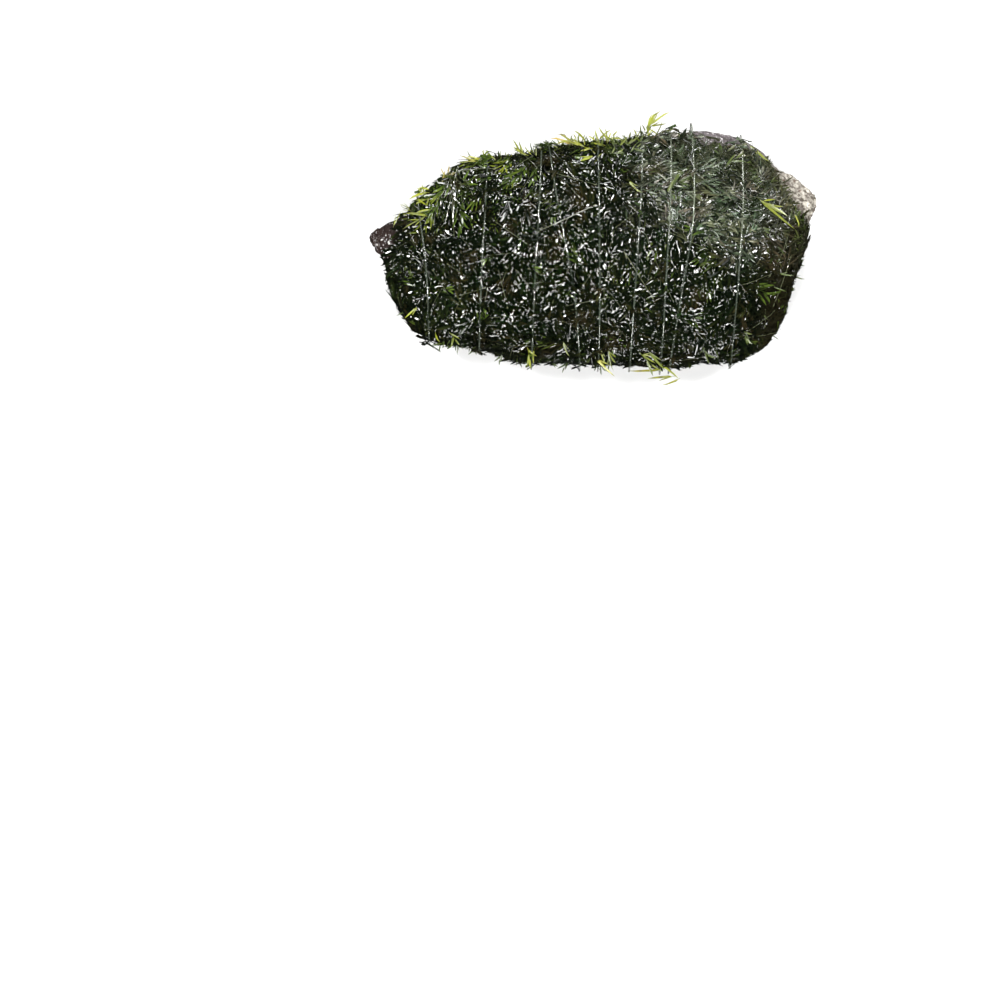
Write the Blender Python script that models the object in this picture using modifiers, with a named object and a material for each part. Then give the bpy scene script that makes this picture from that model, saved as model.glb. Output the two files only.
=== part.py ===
"""A small flat stone under a mat of water feather moss, tied on with one thin nylon line.

The stone lies on its broad back. +X runs along the stone to its blunt, bare right tip, +Y points to the
far edge, and +Z is up through the mossy face. The origin is on the table, below the middle of the object.
"""

import math

import bmesh
import bpy
from mathutils import Matrix, Vector, noise
from mathutils.bvhtree import BVHTree

MM = 0.001

# Stone: overall sizes, and how its sections swell above and below the widest line.
STONE_LENGTH = 62.4 * MM
WIDEST_LINE_Z = 7.0 * MM
RISE_ABOVE = 8.9 * MM
DROP_BELOW = 5.8 * MM
STONE_RINGS = 40
STONE_SEGMENTS = 30
LUMP_HEIGHT = 0.5 * MM
LUMP_SIZE = 6.5 * MM

# The stone's outline from above, as (along x, far edge y, near edge y) at stations in millimetres.
OUTLINE_MM = [
    (-31.2, 1.3, 1.1),
    (-29.9, 2.9, -0.7),
    (-28.0, 3.7, -3.9),
    (-26.5, 4.2, -8.0),
    (-24.5, 5.5, -10.4),
    (-22.3, 8.1, -12.0),
    (-19.9, 10.9, -12.4),
    (-16.8, 12.0, -12.7),
    (-13.6, 11.4, -13.8),
    (-9.5, 11.4, -15.1),
    (-6.5, 11.5, -15.3),
    (-4.0, 12.9, -15.2),
    (0.0, 13.4, -15.2),
    (5.0, 13.8, -15.4),
    (10.0, 15.0, -16.2),
    (14.0, 17.1, -15.9),
    (17.0, 17.5, -15.6),
    (20.0, 16.6, -15.3),
    (23.0, 13.9, -13.8),
    (25.0, 11.0, -11.6),
    (27.2, 10.1, -3.6),
    (29.4, 7.9, 3.0),
    (31.2, 5.9, 5.5),
]

# Broken faces: (outward direction, a point on the face in millimetres, how flat it is from 0 to 1).
BROKEN_FACES = [
    ((0.22, 0.50, 0.84), (12.0, 6.0, 14.6), 0.95),
    ((0.62, -0.36, 0.70), (20.5, -7.5, 12.0), 0.85),
    ((-0.42, 0.12, 0.90), (-17.0, 0.0, 12.9), 0.85),
    ((0.05, -0.62, 0.78), (2.0, -11.4, 12.1), 0.75),
    ((0.10, 0.62, -0.78), (6.0, 11.4, 3.9), 0.8),
    ((-0.45, -0.35, -0.82), (-19.0, -6.0, 3.6), 0.8),
    ((0.60, -0.10, -0.79), (22.0, 0.0, 4.3), 0.8),
]

# The small worn knob that the stone rests on, below its centre of mass.
FOOT_X = 1.5 * MM
FOOT_Y = -0.9 * MM
FOOT_HALF_LENGTH = 4.4 * MM
FOOT_HALF_WIDTH = 5.6 * MM
FOOT_DROP = 2.3 * MM

# Moss mat: it starts a hair above the stone, is thick on the broad face and ends in a thin rim.
CLEARANCE = 0.3 * MM
MOSS_THICKNESS = 1.6 * MM
MOSS_THINNEST = 0.3
RIM_WIDTH = 6.0 * MM
MOSS_LUMP_SIZE = 3.6 * MM
# Each cut keeps what is on the arrow's side: (direction kept, a point on the cut in millimetres).
MOSS_EDGES = [
    ((0.02, 0.06, 1.0), (0.0, 0.0, 3.9)),
    ((0.93, -0.30, 0.21), (-25.4, 1.5, 6.5)),
    ((-0.88, -0.42, 0.22), (25.0, 7.5, 7.0)),
    ((-0.12, -0.80, 0.59), (15.0, 15.2, 8.6)),
    ((0.52, -0.76, 0.39), (-19.2, 9.1, 8.2)),
    ((-0.12, 0.80, 0.59), (12.0, -15.9, 6.6)),
]

# Tying line: one helix. Each turn is (x at the far edge, x halfway down the face, x at the near edge,
# x halfway back under the stone), in millimetres.
LINE_DIAMETER = 0.28 * MM
LINE_TURNS_MM = [
    (-24.1, -23.2, -22.4, -18.2),
    (-14.5, -15.1, -15.7, -11.6),
    (-7.2, -7.9, -8.6, -7.4),
    (-6.4, -4.2, -2.0, -4.9),
    (0.3, 0.4, 0.5, 8.4),
    (6.4, 5.6, 4.8, 10.6),
    (10.3, 9.6, 9.0, 13.2),
    (13.2, 12.6, 10.2, 16.4),
    (20.0, 19.4, 18.5, 17.5),
]
LINE_START_UNDER_MM = -19.3
LINE_STEPS_PER_TURN = 72
LINE_TOLERANCE = 0.08 * MM

# Each end of the line is hitched round the turn beside it, under the stone, and cut to a short tail.
HITCH_GAP = 0.12 * MM
HITCH_TURNS = 1.5
HITCH_PITCH = 0.42 * MM
HITCH_STEPS_PER_TURN = 8
TAIL_LENGTH = 2.2 * MM

LINE_AXIS_Y = 0.0
LINE_AXIS_Z = 7.0 * MM


def clear_scene():
    for thing in list(bpy.data.objects):
        bpy.data.objects.remove(thing)


def make_material(name, colour, roughness, metallic=0.0):
    material = bpy.data.materials.new(name)
    material.use_nodes = True
    shader = material.node_tree.nodes["Principled BSDF"]
    shader.inputs["Base Color"].default_value = (*colour, 1.0)
    shader.inputs["Roughness"].default_value = roughness
    shader.inputs["Metallic"].default_value = metallic
    return material


def new_object(name, data, collection, material):
    made = bpy.data.objects.new(name, data)
    made.data.materials.append(material)
    collection.objects.link(made)
    return made


def between(table, x, column):
    """The value of a table's column at x, eased between its rows."""
    if x <= table[0][0]:
        return table[0][column]
    for low, high in zip(table, table[1:]):
        if x <= high[0]:
            share = (x - low[0]) / (high[0] - low[0])
            return low[column] + (high[column] - low[column]) * share
    return table[-1][column]


def signed_power(value, power):
    return math.copysign(abs(value) ** power, value)


# Stone


def stone_point(direction):
    """Where a point of the unit sphere, with its poles on X, lies on the stone before it is broken."""
    along = max(-1.0, min(1.0, direction.x))
    x = along * STONE_LENGTH / 2
    far = between(OUTLINE_MM, x / MM, 1) * MM
    near = between(OUTLINE_MM, x / MM, 2) * MM
    ring = math.hypot(direction.y, direction.z)
    across = direction.y / ring if ring > 1e-6 else 0.0
    up = direction.z / ring if ring > 1e-6 else 0.0
    boxy_across = signed_power(across, 0.82)
    boxy_up = signed_power(up, 0.8)
    if ring <= 1e-6:
        boxy_up = 0.0
    y = (far + near) / 2 + (far - near) / 2 * boxy_across
    fullness = (1 - abs(along) ** 3.0) ** 0.62
    height = RISE_ABOVE if up > 0 else DROP_BELOW
    z = WIDEST_LINE_Z + height * fullness * boxy_up
    return Vector((x, y, z))


def break_faces(bm):
    """Planes the stone down to its broken faces."""
    for direction, point, flatness in BROKEN_FACES:
        normal = Vector(direction).normalized()
        origin = Vector(point) * MM
        for vert in bm.verts:
            depth = (vert.co - origin).dot(normal)
            if depth > 0:
                vert.co -= normal * depth * flatness


def roughen(bm):
    """Low lumps and hollows over the whole stone."""
    bm.normal_update()
    moved = {}
    for vert in bm.verts:
        lump = noise.fractal(vert.co / LUMP_SIZE, 0.7, 2.1, 3)
        moved[vert] = vert.co + vert.normal * lump * LUMP_HEIGHT
    for vert, place in moved.items():
        vert.co = place


def foot_share(place):
    """1 in the middle of the foot, falling to 0 around it."""
    across = (place.x - FOOT_X) / FOOT_HALF_LENGTH
    along = (place.y - FOOT_Y) / FOOT_HALF_WIDTH
    return math.exp(-(across * across + along * along) ** 1.5)


def add_foot(bm):
    """Draws the underside down to the knob, and wears its end flat where it meets the table."""
    def is_near_foot(edge):
        middle = (edge.verts[0].co + edge.verts[1].co) / 2
        return middle.z < WIDEST_LINE_Z and foot_share(middle) > 0.001

    near = [edge for edge in bm.edges if is_near_foot(edge)]
    bmesh.ops.subdivide_edges(bm, edges=near, cuts=1, use_grid_fill=True)
    for vert in bm.verts:
        if vert.co.z < WIDEST_LINE_Z:
            vert.co.z -= FOOT_DROP * foot_share(vert.co)
    whole = bm.verts[:] + bm.edges[:] + bm.faces[:]
    cut = bmesh.ops.bisect_plane(
        bm, geom=whole, dist=1e-6, plane_co=(0, 0, 0), plane_no=(0, 0, -1), clear_outer=True
    )
    rim = [item for item in cut["geom_cut"] if isinstance(item, bmesh.types.BMEdge)]
    bmesh.ops.edgeloop_fill(bm, edges=rim)


def shape_stone():
    """The stone as a bmesh, with its foot and without."""
    bm = bmesh.new()
    bmesh.ops.create_uvsphere(bm, u_segments=STONE_SEGMENTS, v_segments=STONE_RINGS, radius=1.0)
    bmesh.ops.rotate(bm, verts=bm.verts, matrix=Matrix.Rotation(math.pi / 2, 3, "Y"))
    for vert in bm.verts:
        vert.co = stone_point(vert.co)
    break_faces(bm)
    bmesh.ops.smooth_vert(bm, verts=bm.verts, factor=0.5, use_axis_x=True, use_axis_y=True, use_axis_z=True)
    roughen(bm)
    bmesh.ops.recalc_face_normals(bm, faces=bm.faces)
    footless = bm.copy()
    add_foot(bm)
    bmesh.ops.recalc_face_normals(bm, faces=bm.faces)
    return bm, footless


def make_stone(bm, collection, material):
    mesh = bpy.data.meshes.new("stone")
    bm.to_mesh(mesh)
    mesh.shade_smooth()
    mesh.set_sharp_from_angle(angle=math.radians(40))
    return new_object("stone", mesh, collection, material)


# Moss mat


def cut_moss_edges(bm):
    for direction, point in MOSS_EDGES:
        whole = bm.verts[:] + bm.edges[:] + bm.faces[:]
        bmesh.ops.bisect_plane(
            bm,
            geom=whole,
            dist=0.05 * MM,
            plane_co=Vector(point) * MM,
            plane_no=Vector(direction).normalized(),
            clear_inner=True,
        )
    bmesh.ops.remove_doubles(bm, verts=bm.verts, dist=0.02 * MM)


def moss_share(place):
    """How much of the full moss thickness grows at a place: thin at the rim, tufted inside."""
    depth = min(
        (place - Vector(point) * MM).dot(Vector(direction).normalized())
        for direction, point in MOSS_EDGES
    )
    from_rim = min(1.0, max(0.0, depth / RIM_WIDTH))
    tufts = 0.8 + 0.45 * noise.noise(place / MOSS_LUMP_SIZE)
    return max(MOSS_THINNEST, min(1.0, from_rim**0.5 * tufts))


def make_moss_mat(footless, collection, material):
    """The mat is the stone's own skin, lifted a hair, trimmed, and thickened outwards."""
    bm = footless.copy()
    bm.normal_update()
    lifted = {vert: vert.co + vert.normal * CLEARANCE for vert in bm.verts}
    for vert, place in lifted.items():
        vert.co = place
    cut_moss_edges(bm)
    mesh = bpy.data.meshes.new("moss_mat")
    bm.to_mesh(mesh)
    bm.free()
    mat = new_object("moss_mat", mesh, collection, material)
    thickness = mat.vertex_groups.new(name="thickness")
    for vert in mesh.vertices:
        thickness.add([vert.index], moss_share(vert.co), "REPLACE")
    solid = mat.modifiers.new("grow outwards", "SOLIDIFY")
    solid.thickness = MOSS_THICKNESS
    solid.offset = 1.0
    solid.vertex_group = thickness.name
    solid.use_rim = True
    return mat


# Tying line


def surface_tree(made):
    graph = bpy.context.evaluated_depsgraph_get()
    return BVHTree.FromObject(made, graph)


def place_at(x, reach, angle):
    """The point at a distance and an angle around the winding axis."""
    return Vector((x, LINE_AXIS_Y + reach * math.cos(angle), LINE_AXIS_Z + reach * math.sin(angle)))


def outermost(trees, x, angle):
    """The distance from the winding axis to the outermost surface near x, in the angle's direction."""
    distances = [0.0]
    for tree in trees:
        for beside in (-LINE_DIAMETER, 0.0, LINE_DIAMETER):
            start = place_at(x + beside, STONE_LENGTH, angle)
            inward = place_at(x + beside, 0.0, angle) - start
            hit = tree.ray_cast(start, inward.normalized())
            if hit[0] is not None:
                distances.append(STONE_LENGTH - hit[3])
    return max(distances)


def eased(values, share):
    """A smooth curve through three values, at a share from 0 to 1 of the way along."""
    first, middle, last = values
    control = 2 * middle - (first + last) / 2
    rest = 1 - share
    return rest * rest * first + 2 * rest * share * control + share * share * last


def winding_places():
    """(x, angle) along the whole line: over the face from far edge to near edge, then back under."""
    half = LINE_STEPS_PER_TURN // 2
    places = []
    for step in range(half // 2):
        share = 2 * step / half
        x = LINE_START_UNDER_MM + (LINE_TURNS_MM[0][0] - LINE_START_UNDER_MM) * share
        places.append((x * MM, math.pi * (share - 1) / 2))
    for turn, (far, face, near, under) in enumerate(LINE_TURNS_MM):
        last = turn == len(LINE_TURNS_MM) - 1
        next_far = under if last else LINE_TURNS_MM[turn + 1][0]
        for step in range(half):
            share = step / half
            across = (1 - math.cos(math.pi * share)) / 2
            places.append((eased((far, face, near), across) * MM, math.pi * share))
        for step in range(half // 2 + 1 if last else half):
            share = step / half
            across = (1 - math.cos(math.pi * share)) / 2
            places.append((eased((near, under, next_far), across) * MM, math.pi * (1 + share)))
    return places


def pull_taut(places, reaches):
    """Raises each point to the straight line between its neighbours, as a taut line spans hollows."""
    outward = [(math.cos(angle), math.sin(angle)) for _, angle in places]
    taut = list(reaches)
    for _ in range(LINE_STEPS_PER_TURN * 3):
        for index in range(1, len(taut) - 1):
            before_y = outward[index - 1][0] * taut[index - 1]
            before_z = outward[index - 1][1] * taut[index - 1]
            chord_y = outward[index + 1][0] * taut[index + 1] - before_y
            chord_z = outward[index + 1][1] * taut[index + 1] - before_z
            turned = outward[index][0] * chord_z - outward[index][1] * chord_y
            spanned = (before_y * chord_z - before_z * chord_y) / turned
            taut[index] = max(taut[index], spanned)
    return taut


def outward_directions(points):
    """For each point, the direction square to the line that leads away from the winding axis."""
    directions = []
    for index, point in enumerate(points):
        before = points[max(0, index - 1)]
        after = points[min(len(points) - 1, index + 1)]
        along = (after - before).normalized()
        radial = point - Vector((point.x, LINE_AXIS_Y, LINE_AXIS_Z))
        directions.append((radial - along * radial.dot(along)).normalized())
    return directions


def stand_clear(points, directions, trees):
    """Moves the points outwards until the line between them is clear of the surfaces."""
    needed = CLEARANCE + LINE_DIAMETER / 2
    for _ in range(12):
        pushes = [0.0] * len(points)
        for index in range(len(points) - 1):
            for share in (0.0, 0.25, 0.5, 0.75):
                place = points[index].lerp(points[index + 1], share)
                gap = min(tree.find_nearest(place)[3] for tree in trees)
                shortage = max(0.0, needed - gap)
                pushes[index] = max(pushes[index], shortage)
                pushes[index + 1] = max(pushes[index + 1], shortage)
        for index in range(len(points)):
            around = pushes[max(0, index - 2) : index + 3]
            points[index] = points[index] + directions[index] * max(pushes[index], 0.6 * max(around))


def simplified(points, tolerance):
    """The points that a polyline needs to stay within the tolerance of them all."""
    first, last = points[0], points[-1]
    if len(points) < 3:
        return [first, last]
    chord = (last - first).normalized()
    offsets = [((p - first) - chord * (p - first).dot(chord)).length for p in points]
    worst = max(range(len(points)), key=offsets.__getitem__)
    if offsets[worst] <= tolerance:
        return [first, last]
    return simplified(points[: worst + 1], tolerance)[:-1] + simplified(points[worst:], tolerance)


def hitch(points, directions, crossing, end_place, trees):
    """The end of the line, wound round its neighbour at a crossing point, with its short tail."""
    radius = LINE_DIAMETER + HITCH_GAP
    centre = points[crossing]
    along = (points[crossing + 1] - points[crossing - 1]).normalized()
    out = directions[crossing]
    side = out.cross(along).normalized()
    if side.dot(end_place - centre) < 0:
        side = -side
    wound = []
    steps = int(HITCH_TURNS * HITCH_STEPS_PER_TURN)
    for step in range(steps + 1):
        turn = step / HITCH_STEPS_PER_TURN
        angle = 2 * math.pi * turn
        shift = HITCH_PITCH * (turn - HITCH_TURNS / 2)
        wound.append(
            centre + along * shift + side * radius * math.cos(angle) + out * radius * math.sin(angle)
        )
    lean = (along * 0.5 - side).normalized()
    tail = [wound[-1] + lean * TAIL_LENGTH * share for share in (0.35, 0.7, 1.0)]
    stand_clear(tail, [out] * len(tail), trees)
    return wound + tail


def line_route(stone, mat):
    trees = [surface_tree(stone), surface_tree(mat)]
    places = winding_places()
    reaches = [outermost(trees, x, angle) for x, angle in places]
    first_crossing = LINE_STEPS_PER_TURN
    last_crossing = len(places) - 1 - LINE_STEPS_PER_TURN
    for crossing in (first_crossing, last_crossing):
        for index in range(crossing - 2, crossing + 3):
            reaches[index] += LINE_DIAMETER + HITCH_GAP
    reaches = pull_taut(places, reaches)
    skin = [place_at(x, reach, angle) for (x, angle), reach in zip(places, reaches)]
    directions = outward_directions(skin)
    lift = CLEARANCE + LINE_DIAMETER / 2
    points = [place + direction * lift for place, direction in zip(skin, directions)]
    stand_clear(points, directions, trees)
    first_end = hitch(points, directions, first_crossing, points[0], trees)
    last_end = hitch(points, directions, last_crossing, points[-1], trees)
    return first_end[::-1] + simplified(points, LINE_TOLERANCE) + last_end


def make_tie_line(stone, mat, collection, material):
    route = line_route(stone, mat)
    curve = bpy.data.curves.new("tie_line", "CURVE")
    curve.dimensions = "3D"
    curve.bevel_depth = LINE_DIAMETER / 2
    curve.bevel_resolution = 1
    curve.use_fill_caps = True
    spline = curve.splines.new("POLY")
    spline.points.add(len(route) - 1)
    for point, place in zip(spline.points, route):
        point.co = (*place, 1.0)
    print("tying line:", len(route), "points, lowest at", min(p.z for p in route) / MM, "mm")
    return new_object("tie_line", curve, collection, material)


# Placing


def centre_over_origin(pieces):
    """Slides the pieces together so that the middle of the whole object is above the origin."""
    bpy.context.view_layer.update()
    graph = bpy.context.evaluated_depsgraph_get()
    points = []
    for piece in pieces:
        shaped = piece.evaluated_get(graph)
        points += [vert.co.copy() for vert in shaped.to_mesh().vertices]
        shaped.to_mesh_clear()
    middle_x = (min(p.x for p in points) + max(p.x for p in points)) / 2
    middle_y = (min(p.y for p in points) + max(p.y for p in points)) / 2
    for piece in pieces:
        piece.data.transform(Matrix.Translation((-middle_x, -middle_y, 0.0)))


def main():
    clear_scene()
    collection = bpy.data.collections.new("moss_on_stone")
    bpy.context.scene.collection.children.link(collection)
    wet_stone = make_material("wet_stone", (0.075, 0.068, 0.06), 0.4)
    wet_moss = make_material("wet_moss", (0.03, 0.055, 0.018), 0.3)
    nylon = make_material("nylon", (0.55, 0.6, 0.56), 0.2)

    bm, footless = shape_stone()
    stone = make_stone(bm, collection, wet_stone)
    mat = make_moss_mat(footless, collection, wet_moss)
    bpy.context.view_layer.update()
    line = make_tie_line(stone, mat, collection, nylon)
    centre_over_origin([stone, mat, line])
    bm.free()
    footless.free()


main()
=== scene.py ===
# %% [markdown]
# # Water feather moss tied on a stone
#
# A small flat stone lies on a pale floor. Its broad face is covered with wet feather moss, which one thin
# clear line holds down. This file is a lesson in dressing such a part: the solids come from CAD and stay
# where they are, and each step below adds what the eye sees on them. Lengths are written in millimetres
# and turned into metres when a mesh is made.

# %% Load the solids
import math
import random

import bmesh
import bpy
import numpy as np
from mathutils import Euler, Matrix, Vector, noise
from mathutils.bvhtree import BVHTree


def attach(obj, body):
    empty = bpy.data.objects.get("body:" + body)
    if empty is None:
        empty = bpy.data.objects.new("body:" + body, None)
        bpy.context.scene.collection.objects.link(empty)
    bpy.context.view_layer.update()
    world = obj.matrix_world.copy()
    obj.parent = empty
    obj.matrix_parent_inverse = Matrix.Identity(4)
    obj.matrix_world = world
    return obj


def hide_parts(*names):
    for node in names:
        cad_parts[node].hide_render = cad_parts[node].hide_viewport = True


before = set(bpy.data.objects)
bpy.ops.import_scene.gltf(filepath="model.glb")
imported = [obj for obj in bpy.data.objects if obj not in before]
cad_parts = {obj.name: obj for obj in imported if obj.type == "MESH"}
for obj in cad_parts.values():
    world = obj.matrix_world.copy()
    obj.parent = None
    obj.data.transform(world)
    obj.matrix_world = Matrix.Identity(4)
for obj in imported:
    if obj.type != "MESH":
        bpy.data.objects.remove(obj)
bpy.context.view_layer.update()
MM = 0.001
ROOT = "root"

# %% [markdown]
# ## The camera
#
# The stone is seen squarely on its broad face, so the camera looks straight down. It is not above the
# middle of the stone: the stone sits up and to the right of the middle of the picture. Placing the
# camera to the side, and not turning it, keeps the face square. A long lens from 0.42 m keeps the
# perspective as weak as it looks.

# %% Aim the camera
PICTURE_WIDTH_MM = 137.0
PIXELS = 1000
ORIGIN_PIXEL = (592.8, 249.6)
CAMERA_HEIGHT_MM = 420.0
WIDEST_HEIGHT_MM = 7.0
SENSOR_MM = 36.0

mm_per_pixel = PICTURE_WIDTH_MM / PIXELS
aim_x = (PIXELS / 2 - ORIGIN_PIXEL[0]) * mm_per_pixel
aim_y = (ORIGIN_PIXEL[1] - PIXELS / 2) * mm_per_pixel
lens = bpy.data.cameras.new("camera")
lens.sensor_width = SENSOR_MM
lens.lens = SENSOR_MM * (CAMERA_HEIGHT_MM - WIDEST_HEIGHT_MM) / PICTURE_WIDTH_MM
camera = bpy.data.objects.new("camera", lens)
camera.location = (aim_x * MM, aim_y * MM, CAMERA_HEIGHT_MM * MM)
bpy.context.scene.collection.objects.link(camera)
bpy.context.scene.camera = camera
print("camera over", round(aim_x, 1), round(aim_y, 1), "mm, lens", round(lens.lens, 1), "mm")


def at_pixel(column, row):
    """The x and y, in millimetres, of a pixel of the picture at the height of the stone's widest line."""
    return (column - ORIGIN_PIXEL[0]) * mm_per_pixel, (ORIGIN_PIXEL[1] - row) * mm_per_pixel


# %% [markdown]
# ## Shader sums written as plain sums
#
# A material is a tree of nodes. Wiring each one by hand hides the idea, so a small class wraps a socket
# and lets numbers be added and multiplied with the usual signs. Every other node comes from one method,
# which sets the node up first and then fills or links its sockets.


# %% Wrap sockets and materials
class Wire:
    """A number that flows from one node to the next."""

    def __init__(self, finish, socket):
        self.finish = finish
        self.socket = socket

    def sum_with(self, operation, first, second):
        return self.finish.node("ShaderNodeMath", {"operation": operation}, {0: first, 1: second})

    def __add__(self, other):
        return self.sum_with("ADD", self, other)

    def __sub__(self, other):
        return self.sum_with("SUBTRACT", self, other)

    def __rsub__(self, other):
        return self.sum_with("SUBTRACT", other, self)

    def __mul__(self, other):
        return self.sum_with("MULTIPLY", self, other)

    __radd__, __rmul__ = __add__, __mul__


class Finish:
    """One material, with its main shader ready and its other nodes made by node()."""

    def __init__(self, name):
        self.material = bpy.data.materials.new(name)
        self.material.use_nodes = True
        self.nodes = self.material.node_tree.nodes
        self.links = self.material.node_tree.links
        self.nodes.clear()
        self.surface = self.nodes.new("ShaderNodeBsdfPrincipled")
        output = self.nodes.new("ShaderNodeOutputMaterial")
        self.links.new(self.surface.outputs[0], output.inputs[0])

    def fill(self, target, sockets):
        for key, value in sockets.items():
            if isinstance(value, Wire):
                self.links.new(value.socket, target.inputs[key])
            else:
                target.inputs[key].default_value = value

    def node(self, kind, settings=(), sockets=(), gives=0):
        """A node set up, then wired; what comes back is its output."""
        made = self.nodes.new(kind)
        for key, value in dict(settings).items():
            if key == "stops":
                stops = made.color_ramp.elements
                while len(stops) < len(value):
                    stops.new(1.0)
                for stop, (position, colour) in zip(stops, value):
                    stop.position = position
                    stop.color = (*colour, 1.0)
            else:
                setattr(made, key, value)
        self.fill(made, dict(sockets))
        return Wire(self, made.outputs[gives])

    def sets(self, **sockets):
        """Fills or links the main shader's own sockets."""
        self.fill(self.surface, {name.replace("_", " "): value for name, value in sockets.items()})

    def place(self):
        """The point on the piece, in millimetres."""
        here = self.node("ShaderNodeTexCoord", gives="Object")
        return self.node("ShaderNodeVectorMath", {"operation": "SCALE"}, {0: here, "Scale": 1 / MM})

    def along(self, axis):
        """One coordinate of the point, in millimetres."""
        return self.node("ShaderNodeSeparateXYZ", {}, {0: self.place()}, gives=axis)

    def cloud(self, size, detail=3.0, rough=0.5, warp=0.0):
        """Soft noise from 0 to 1 with features of about that many millimetres."""
        shape = {"Scale": 1 / size, "Detail": detail, "Roughness": rough, "Distortion": warp}
        return self.node("ShaderNodeTexNoise", {}, {"Vector": self.place(), **shape})

    def cells(self, size, gives="Distance"):
        """Cell noise with grains of about that many millimetres."""
        return self.node("ShaderNodeTexVoronoi", {}, {"Vector": self.place(), "Scale": 1 / size}, gives)

    def step(self, value, low, high):
        """0 below low, 1 above high, and smooth between."""
        ends = {"Value": value, "From Min": low, "From Max": high}
        return self.node("ShaderNodeMapRange", {"interpolation_type": "SMOOTHSTEP"}, ends)

    def blend(self, share, first, second):
        """One colour turning into another as the share goes from 0 to 1."""
        first, second = (c if isinstance(c, Wire) else (*c, 1.0) for c in (first, second))
        return self.node("ShaderNodeMix", {"data_type": "RGBA"}, {0: share, 6: first, 7: second}, gives=2)

    def relief(self, height, depth):
        """Raised and hollow places, depth being in millimetres."""
        return self.node("ShaderNodeBump", {}, {"Height": height, "Distance": depth * MM, "Strength": 1.0})

    def stored(self, name):
        """A number that each point of the mesh carries."""
        return self.node("ShaderNodeAttribute", {"attribute_name": name}, {}, gives="Fac")


# %% [markdown]
# ## Floor and light
#
# The floor is one plain pale plane, and a pale wall round it keeps the low views from looking out into the
# dark. A wet leaf shows as a dark shape with hard sparks, and each spark is the mirror image of a lamp. So
# a ring of small softboxes lights the part in a nearly dark room, two lower ones reach the leaves on the
# sides, and a panel behind the far right gives the grey sheen on the leaves that lean away.

# %% Make the floor and the lights
FLOOR_SIZE_MM = 1600.0
FLOOR_TONE = (0.72, 0.72, 0.715)
WALL_MM, WALL_HEIGHT_MM, WALL_GLOW = 600.0, 800.0, 0.8
ROOM_GLOW = 0.035
LAMPS_AIM_MM = (0.0, 0.0, 8.0)
RING_LAMPS, RING_MM, RING_HEIGHT_MM, RING_TURN = 5, 275.0, 460.0, 0.3
RING_BOX_MM, RING_WATTS = 58.0, 1.5
LOW_LAMPS = [
    # name, place in mm, side in mm, watts
    ("low_box_near", (30.0, -470.0, 170.0), 150.0, 1.6),
    ("low_box_far", (-170.0, 430.0, 200.0), 150.0, 1.6),
    ("sheen_panel", (170.0, 510.0, 330.0), 300.0, 0.48),
]


def as_mesh(bm, name):
    """The finished bmesh as a mesh of that name."""
    mesh = bpy.data.meshes.new(name)
    bm.to_mesh(mesh)
    bm.free()
    return mesh


def add_stage(bm, name, finish):
    """A piece of the studio, which is no part of the object."""
    piece = bpy.data.objects.new(name, as_mesh(bm, name))
    bpy.context.scene.collection.objects.link(piece)
    piece.data.materials.append(finish.material)
    return piece


def make_floor():
    bm = bmesh.new()
    bmesh.ops.create_grid(bm, x_segments=1, y_segments=1, size=FLOOR_SIZE_MM / 2 * MM)
    paper = Finish("pale_floor")
    speckle = paper.cloud(40.0)
    tone = paper.blend(speckle, FLOOR_TONE, tuple(c * 0.985 for c in FLOOR_TONE))
    paper.sets(Base_Color=tone, Roughness=0.85)
    add_stage(bm, "floor", paper).visible_glossy = False


def make_backdrop():
    """A pale wall round the floor. Only the camera sees it, so it adds neither light nor reflections."""
    bm = bmesh.new()
    bmesh.ops.create_cone(
        bm, cap_ends=False, segments=96, radius1=WALL_MM * MM, radius2=WALL_MM * MM, depth=WALL_HEIGHT_MM * MM
    )
    bmesh.ops.translate(bm, verts=bm.verts, vec=(0.0, 0.0, WALL_HEIGHT_MM / 2 * MM))
    paper = Finish("pale_wall")
    paper.sets(Base_Color=(0.0, 0.0, 0.0, 1.0), Emission_Color=(1.0, 1.0, 1.0, 1.0), Emission_Strength=WALL_GLOW)
    wall = add_stage(bm, "backdrop", paper)
    wall.visible_diffuse = wall.visible_glossy = wall.visible_transmission = wall.visible_shadow = False


def make_lamp(name, place_mm, size_mm, watts):
    """A square panel lamp that faces the part."""
    lamp = bpy.data.lights.new(name, "AREA")
    lamp.shape = "SQUARE"
    lamp.size = size_mm * MM
    lamp.energy = watts
    thing = bpy.data.objects.new(name, lamp)
    thing.location = Vector(place_mm) * MM
    thing.rotation_euler = (Vector(LAMPS_AIM_MM) - Vector(place_mm)).to_track_quat("-Z", "Y").to_euler()
    bpy.context.scene.collection.objects.link(thing)


make_floor()
make_backdrop()
world = bpy.data.worlds.new("room")
world.use_nodes = True
world.node_tree.nodes["Background"].inputs["Color"].default_value = (1.0, 1.0, 1.0, 1.0)
world.node_tree.nodes["Background"].inputs["Strength"].default_value = ROOM_GLOW
bpy.context.scene.world = world
for number in range(RING_LAMPS):
    turn = 2 * math.pi * (number + RING_TURN) / RING_LAMPS
    spot = (RING_MM * math.cos(turn), RING_MM * math.sin(turn), RING_HEIGHT_MM)
    make_lamp(f"softbox_{number}", spot, RING_BOX_MM, RING_WATTS)
for lamp in LOW_LAMPS:
    make_lamp(*lamp)
bpy.context.scene.view_settings.view_transform = "Standard"

# %% [markdown]
# ## Reading the surfaces
#
# Everything grows on the stone, so two questions are asked again and again: where is the stone's skin
# near this point, and how deep is the moss there. A tree of the mesh's faces answers both quickly. The
# CAD meshes are loose triangles, so a copy is merged first.


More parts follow.
